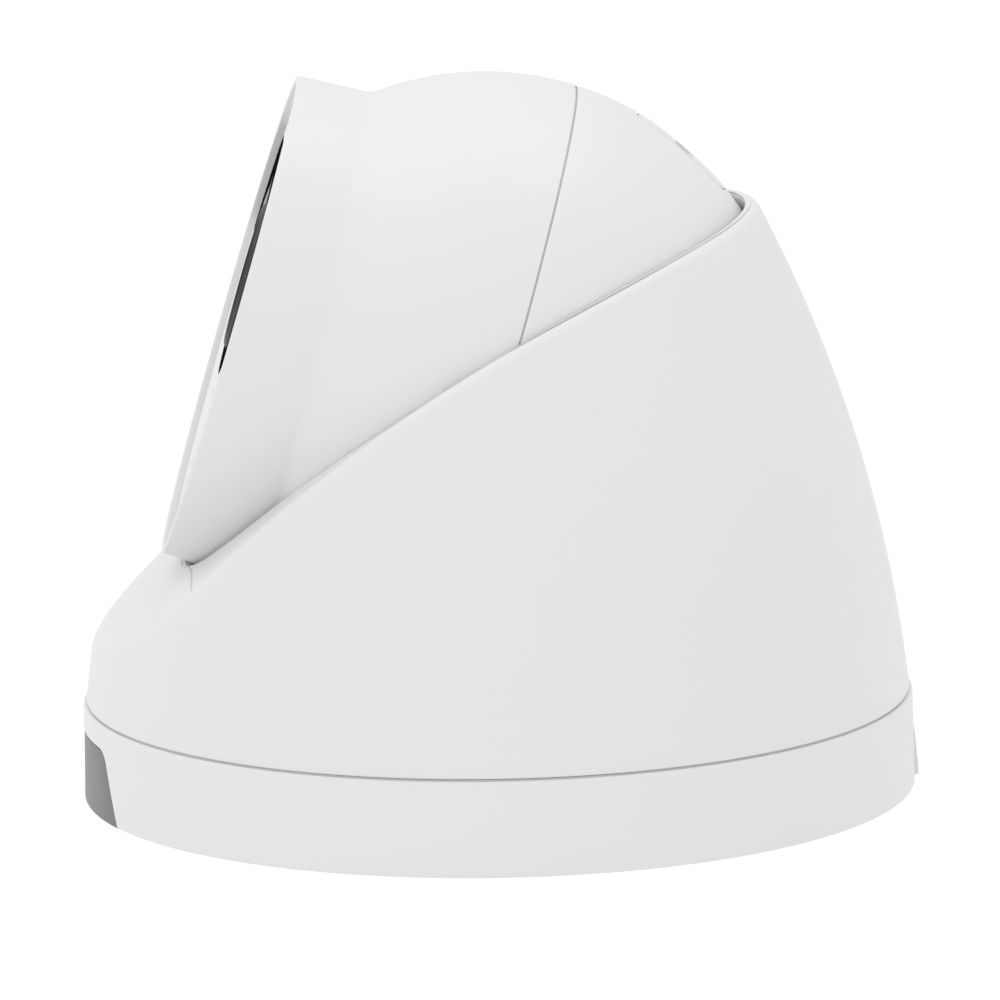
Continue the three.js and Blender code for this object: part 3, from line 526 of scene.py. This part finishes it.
def inner_radius(z, phi):
    """The bell's inside, hollowed for the ball."""
    ball_y, ball_z = CENTRE.y / MM, CENTRE.z / MM
    inside = (BALL_R + BALL_GAP) ** 2 - (z - ball_z) ** 2 - (ball_y * math.sin(phi)) ** 2
    hollow = -ball_y * math.cos(phi) + math.sqrt(inside) if inside > 0 else 0
    return max(bell(z) - COVER_WALL, hollow)


def hole_radius(phi):
    """The opening's straight front edge, relieved in its middle."""
    x = BALL_R * math.sin(phi)
    y = HOLE_Y + (RELIEF_Y - HOLE_Y) * math.exp(-(x / RELIEF_X) ** 2)
    return -y / math.cos(phi) if math.cos(phi) > 0.1 else math.inf


def respaced(points, count):
    points = np.array(points)
    along = np.r_[0, np.cumsum(np.hypot(*np.diff(points, axis=0).T))]
    at = np.linspace(0, along[-1], count)
    return np.c_[np.interp(at, along, points[:, 0]), np.interp(at, along, points[:, 1])].tolist()


def bend(start, corner, end, steps=6):
    """Points of a round corner between two points."""
    a, b, c = Vector(start), Vector(corner), Vector(end)
    times = [i / steps for i in range(steps + 1)]
    return [tuple(a * (1 - t) ** 2 + b * 2 * t * (1 - t) + c * t * t) for t in times]


def cover_section(phi):
    """The cover's cross-section, phi from -Y, as a closed loop of (radius, height)."""
    thick = COVER_WALL * 1.25
    r_top, z_top = rim_point(phi)
    z_edge = z_top
    for _ in range(4):
        clear = inner_radius(z_edge - EDGE_EASE, phi)
        r_edge = min(hole_radius(phi), max(clear, r_top - COVER_WALL - 0.3))
        z_edge = rim_height(-r_edge * math.cos(phi))
    land = r_top - r_edge

    def on_land(share):
        r = r_top - land * share
        return r, rim_height(-r * math.cos(phi))

    round_off = min(max(land * 0.7, 1.7), 2.4)
    outer = [(bell(z), z) for z in np.linspace(COVER_Z + 0.3, z_top - round_off, 34)]
    loop = bend((bell(COVER_Z) - 0.3, COVER_Z), (bell(COVER_Z), COVER_Z), outer[0], 3)[:-1]
    loop += outer[:-1] + bend(outer[-1], (r_top, z_top), on_land(round_off / land))
    last = 1 - EDGE_EASE / land
    loop += [on_land(s) for s in np.linspace(round_off / land, last, 6)[1:-1]]
    loop += bend(on_land(last), on_land(1), (r_edge, z_edge - EDGE_EASE))
    wide = land > COVER_WALL + 0.6
    ledge = r_edge if wide else max(r_edge, inner_radius(z_edge - thick, phi))
    under_land = min(z_top, z_edge) - thick if wide else math.inf
    top = min(under_land, z_edge - EDGE_EASE - thick) - 0.5
    inner = [(r_edge, z_edge - EDGE_EASE), (ledge, z_edge - thick)]
    inner += [(inner_radius(z, phi), z) for z in np.linspace(top, COVER_Z, 26)]
    return loop + respaced(inner, 34)[1:]


def cover_shell(slices=480):
    return around([cover_section(TURN * (i / slices + 0.25)) for i in range(slices)], ROW)


def ball_solid(r, segments=192):
    angles = np.linspace(-math.pi / 2, math.pi / 2, segments // 2)[1:-1]
    arc = [(r * math.cos(t), r * math.sin(t)) for t in angles]
    return lathe([(0, -r), *arc, (0, r)], BALL, segments)


def ball_well():
    """A well round the front of the ball, from the bell's inside to what the ball and flange sweep."""
    along = np.linspace(WELL_FRONT, WELL_BACK, 40)
    profile = [(y, rim_height(y) - WELL_DROP - WELL_T) for y in along]
    profile += [(y, rim_height(y) - WELL_DROP) for y in reversed(along)]
    side = [(bell(z) - COVER_WALL / 2, z) for z in np.linspace(30, 80, 40)]
    inside = lathe([(0, 30), *side, (0, 80)])
    sweep = LIP_R - FLANGE_V + WELL_GAP
    flange = lathe([(0, 25), (sweep + 1, 25), (sweep, LIP_S), (sweep, 60), (0, 60)], BALL)
    sheet = prism(profile, -60, 60, ALONG_X)
    return cut(overlap(sheet, inside), ball_solid(BALL_R + BALL_GAP), flange)


def cover():
    bosses = []
    for degrees in COVER_SCREW_ANGLES:
        turned = ROW @ Matrix.Rotation(math.radians(degrees), 4, "Z")
        bosses.append(bar(3.6, 16, 24.5, 0, -COVER_SCREW_R, turned))
        bosses.append(box(-1.1, 1.1, -66, -COVER_SCREW_R, 20.2, 24.5, turned))
    pilots = [bar(1.3, 10, 22, *polar(COVER_SCREW_R, a), count=24) for a in COVER_SCREW_ANGLES]
    return cut(joined(cover_shell(), ball_well(), *bosses), *pilots)


piece("cover", cover(), sharp=40)


# ---- ball shells ----
def flange_radius(s):
    return LIP_R + (LIP_S - s) * DRAFT


def flange_reach(s, theta, r=None):
    """Distance from the lens axis to the off-centre flange, theta from the side."""
    r = flange_radius(s) if r is None else r
    return FLANGE_V * math.sin(theta) + math.sqrt(r ** 2 - (FLANGE_V * math.cos(theta)) ** 2)


def front_section(theta):
    """The front shell's cross-section as a closed loop of (radius, height)."""
    seam = SEAM_S + SEAM_GROOVE / 2
    r_seam = math.sqrt(BALL_R ** 2 - seam ** 2)
    r_in = math.sqrt(SHELL_IN ** 2 - seam ** 2)
    crease = 29.0
    for _ in range(8):
        crease = math.sqrt(BALL_R ** 2 - flange_reach(crease, theta) ** 2)
    ease = 1.1
    before = math.asin(crease / BALL_R) - ease / BALL_R
    dome = [(BALL_R * math.cos(t), BALL_R * math.sin(t))
            for t in np.linspace(math.asin((seam + 0.12) / BALL_R), before, 48)]
    neck = bend(dome[-1], (flange_reach(crease, theta), crease),
                (flange_reach(crease + ease, theta), crease + ease), 8)[1:]

    def at(r, s, ease=0):
        return flange_reach(s, theta, r), s, ease

    lip = eased([
        neck[-1], at(LIP_R, LIP_S, 0.45), at(BEZEL_R + GAP, LIP_S, 0.3), at(BEZEL_R + GAP, SEAT_S),
        at(BEZEL_R - 3, SEAT_S, 0.3), at(BEZEL_R - 3, SEAT_S - 2, 0.5),
        at(flange_radius(37) - 2.2, SEAT_S - 4.3), (37.2, 30)], closed=False)[1:]
    edge = bend((r_seam - 0.12, seam), (r_seam, seam), dome[0], 3)[:-1]
    return edge + dome + neck + lip + sphere_arc(SHELL_IN, 38.6, r_in, 30)


def front_shell(slices=288):
    shell = around([front_section(TURN * i / slices) for i in range(slices)], BALL)
    bosses = []
    for degrees in CHASSIS_ANGLES:
        at = polar(CHASSIS_SCREW_R, degrees)
        bosses.append(cut(bar(3.4, 13, 30, *at, BALL), bar(1.3, 10.5, 22, *at, BALL)))
    return joined(shell, *bosses)


def rounded_box(w, l, h0, h1, corner=HATCH_CORNER):
    x, y = w / 2, l / 2
    outline = eased([(-x, -y, corner), (x, -y, corner), (x, y, corner), (-x, y, corner)], 8)
    return prism(outline, h0, h1, HATCH)


def rear_shell():
    seam = SEAM_S - SEAM_GROOVE / 2
    r_seam = math.sqrt(BALL_R ** 2 - seam ** 2)
    r_in = math.sqrt(SHELL_IN ** 2 - seam ** 2)
    arc = sphere_arc(BALL_R, HUB_R, r_seam, 90, -1)
    last = [p for p in arc if p[1] < seam - 0.12]
    edge = bend(last[-1], (r_seam, seam), (r_seam - 0.12, seam), 3)[1:]
    tongue = SEAM_S + SEAM_GROOVE / 2 - 0.03
    edge += [(BALL_R - SEAM_DEPTH, seam), (BALL_R - SEAM_DEPTH, tongue), (SHELL_IN + 0.3, tongue),
             (SHELL_IN + 0.3, seam)]
    hub = eased([(HUB_BORE, HUB_END, 0.3), (HUB_R, HUB_END, 0.4), last[0]])[:-1]
    shell = lathe(hub + last + edge + sphere_arc(SHELL_IN, r_in, HUB_BORE, 60, -1), BALL, 256)
    pad = overlap(rounded_box(HATCH_W + 4, HATCH_L + 4, 44.8, 48.6), ball_solid(49.5, 96))
    posts = [bar(1.8, 36.1, 46, x, y, HATCH, 24) for x, y in CARD_POSTS]
    seat = rounded_box(HATCH_W + 0.8, HATCH_L + 0.8, HATCH_SEAT, 60, HATCH_CORNER + 0.4)
    well = rounded_box(HATCH_W - 7, HATCH_L - 5, 40, 60)
    holes = [bar(0.9, 44, 52, side * HATCH_SCREW_X, 0, HATCH, 24) for side in (-1, 1)]
    return cut(joined(shell, pad, *posts), seat, well, *holes)


def hatch():
    lid = overlap(rounded_box(HATCH_W, HATCH_L, HATCH_SEAT + 0.6, HATCH_OUT), ball_solid(BALL_R))
    for side in (-1, 1):
        x = side * HATCH_SCREW_X
        lid = cut(lid, bar(1, 40, 60, x, 0, HATCH, 32), bar(1.9, HATCH_HEAD - 0.05, 60, x, 0, HATCH))
    return broken_edges(lid, 0.25, 3)


piece("front_shell", front_shell())
piece("rear_shell", rear_shell())
piece("service_cover", hatch())


# ---- face ----
FACE = BALL @ Matrix.Translation((0, FLANGE_V, -FACE_RECESS))


def window_outline(grow):
    """A band across the face that widens downwards round the lens."""
    side, r, turn = BEZEL_R + 2, 16.8 + grow, math.radians(25)
    shoulder = 9.8 - grow
    start = (16.4 + grow, shoulder - 1.2)
    bulge = [(r * math.cos(t), EYE_V + r * math.sin(t)) for t in np.linspace(-turn, turn - math.pi, 40)]
    right = bend((21, shoulder), start, bulge[0], 8)
    left = [(-x, y) for x, y in reversed(right)]
    top = bend((-side, 27 + grow), (0, 30 + grow), (side, 27 + grow), 24)
    return top + [(side, 10.5 - grow)] + right[:-1] + bulge + left[1:] + [(-side, 10.5 - grow)]


def face_disc(r, back):
    edge = [(r, back, 0.2), (r, FACE_S - 0.6, 0.4), (r - 4, FACE_S, 2.5)]
    return lathe(eased([(0, back), *edge, (0, FACE_S)]), FACE, 256)


def bezel():
    pegs = [bar(2, 35.3, 41.3, side * 14.5, 21.5, FACE, 24) for side in (-1, 1)]
    plate = joined(face_disc(BEZEL_R, BEZEL_BACK), *pegs)
    recess = prism(window_outline(GAP), PANEL_BACK - GAP, 50, FACE)
    holes = [bar(EYE_HOLE_R, 30, 50, 0, EYE_V, FACE, 96), bar(0.7, 40, 50, 0, MIC_V, FACE, 24),
             bar(1.9, 40, 50, 0, SENSOR_V, FACE), bar(SPEAKER_HOLE_R, 40, 50, 0, SPEAKER_V, FACE, 24)]
    holes += [bar(6, 40, 50, side * LED_X, LED_V, FACE) for side in (-1, 1)]
    holes += [bar(SPEAKER_HOLE_R, 40, 50, x, y, FACE, 24)
              for x, y in circle(SPEAKER_RING_R, 0, SPEAKER_V, 6)]
    return broken_edges(cut(plate, recess, *holes), 0.15)


def window_panel():
    band = overlap(prism(window_outline(0), PANEL_BACK, 50, FACE), face_disc(BEZEL_R - 0.3, 42))
    return broken_edges(cut(band, bar(EYE_HOLE_R, 30, 50, 0, EYE_V, FACE, 96)), 0.18, 3)


EYE = FACE @ Matrix.Translation((0, EYE_V, 0))
piece("bezel", bezel())
piece("window_panel", window_panel())
piece("lens_ring", lathe(eased([
    (10.8, 35.3), (12.3, 35.3), (12.3, 43.9, 0.2), (11.7, 44.3, 0.2), (11.3, 44.2, 0.1), (11.1, 43.9, 0.1),
    (10.5, 43.7, 0.1), (10.3, 43.3, 0.1), (9.9, 43, 0.1), (9.9, 40.6), (10.8, 40.6)]), EYE, 160))
LENS_CROWN = [(9.5 * math.cos(t), 41.9 + 2 * math.sin(t)) for t in np.linspace(0, math.pi / 2, 24)[:-1]]
piece("front_lens", lathe([
    (0, 40.9), (9.5, 40.9), (9.6, 41), (9.6, 41.8), *LENS_CROWN, (0, 43.9)], EYE, 128))

# ---- pieces that keep their CAD shape ----
REPLACED = {name for o in bpy.data.objects for name in o.get("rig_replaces", [])}
for name, cad in frame["nodes"].items():
    if name not in REPLACED:
        cad.data.materials.clear()
        cad.data.materials.append(FINISH[SLOT[name]])

# ---- floor, light and view ----
def plane(name, size, colour, glow):
    """A level floor that also gives off light, so that it stays pale under the object."""
    mesh = bpy.data.meshes.new(name)
    corners = [(-size, -size, 0), (size, -size, 0), (size, size, 0), (-size, size, 0)]
    mesh.from_pydata(corners, [], [(0, 1, 2, 3)])
    material, tree, surface = shader(name)
    shade = mixed(tree, noise(tree, 3, 2), [c * 0.99 for c in colour], colour)
    tree.links.new(shade, surface.inputs["Base Color"])
    surface.inputs["Roughness"].default_value = 0.9
    surface.inputs["Specular IOR Level"].default_value = 0.0
    surface.inputs["Emission Color"].default_value = (1, 1, 1, 1)
    surface.inputs["Emission Strength"].default_value = glow
    mesh.materials.append(material)
    floor = bpy.data.objects.new(name, mesh)
    bpy.context.scene.collection.objects.link(floor)


def softbox(name, place, target, size, watts):
    """A rectangular area light at the place, turned to the target."""
    light = bpy.data.lights.new(name, "AREA")
    light.shape = "RECTANGLE"
    light.size, light.size_y = size
    light.energy = watts
    lamp = bpy.data.objects.new(name, light)
    lamp.location = place
    lamp.rotation_euler = (Vector(target) - Vector(place)).to_track_quat("-Z", "Y").to_euler()
    bpy.context.scene.collection.objects.link(lamp)


plane("floor", 12, (0.2, 0.2, 0.2), 0.84)
MIDDLE = (0, 0, 0.06)
softbox("front_top_softbox", (-0.32, -0.38, 1.15), MIDDLE, (0.5, 0.5), 0.9)
softbox("back_top_softbox", (-0.25, 0.32, 1.18), MIDDLE, (0.5, 0.5), 1.1)
softbox("left_softbox", (1.0, -1.1, 0.35), MIDDLE, (0.35, 0.8), 0.12)
softbox("right_softbox", (1.0, 1.1, 0.5), MIDDLE, (0.35, 1.0), 0.12)

def white_room():
    """A white surround, brightest above and in front of the lens."""
    world = bpy.data.worlds.new("white_room")
    world.use_nodes = True
    tree = world.node_tree
    outward = node(tree, "ShaderNodeTexCoord").outputs["Generated"]
    facing = node(tree, "ShaderNodeVectorMath", {0: outward, 1: BRIGHT_SIDE}, operation="DOT_PRODUCT")
    glow = node(tree, "ShaderNodeMapRange", {"Value": facing.outputs["Value"], "From Min": -1, "From Max": 1,
                                             "To Min": ROOM_DIM, "To Max": ROOM_BRIGHT})
    tree.links.new(glow.outputs["Result"], tree.nodes["Background"].inputs["Strength"])
    tree.nodes["Background"].inputs["Color"].default_value = (1, 1, 1, 1)
    bpy.context.scene.world = world
    bpy.context.scene.view_settings.view_transform = "Standard"


BRIGHT_SIDE = (0.25, -0.35, 0.9)
ROOM_DIM = 0.62
ROOM_BRIGHT = 1.16
white_room()

VIEW_TARGET = Vector((0, 0, 0.049))
VIEW_DISTANCE = 1.6
VIEW_ELEVATION = math.radians(11.09)
VIEW_AZIMUTH = math.radians(-0.4)
VIEW_ROLL = math.radians(1.04)
AIM_RIGHT = 0.00094
AIM_DOWN = 0.00098
VIEW_LENS = 347.7


def photo_camera():
    """A long lens near side-on to the object, a little above it and rolled as the photo is."""
    away = Vector((math.cos(VIEW_ELEVATION) * math.cos(VIEW_AZIMUTH),
                   math.cos(VIEW_ELEVATION) * math.sin(VIEW_AZIMUTH), math.sin(VIEW_ELEVATION)))
    right = Vector((0, 0, 1)).cross(away).normalized()
    up = away.cross(right)
    rolled_up = up * math.cos(VIEW_ROLL) + right * math.sin(VIEW_ROLL)
    rolled_right = right * math.cos(VIEW_ROLL) - up * math.sin(VIEW_ROLL)
    place = VIEW_TARGET + away * VIEW_DISTANCE + rolled_right * AIM_RIGHT - rolled_up * AIM_DOWN
    lens = bpy.data.cameras.new("view")
    lens.lens = VIEW_LENS
    lens.sensor_width = 36
    view = bpy.data.objects.new("view", lens)
    axes = Matrix((rolled_right, rolled_up, away)).transposed().to_4x4()
    view.matrix_world = Matrix.Translation(place) @ axes
    bpy.context.scene.collection.objects.link(view)
    bpy.context.scene.camera = view


photo_camera()
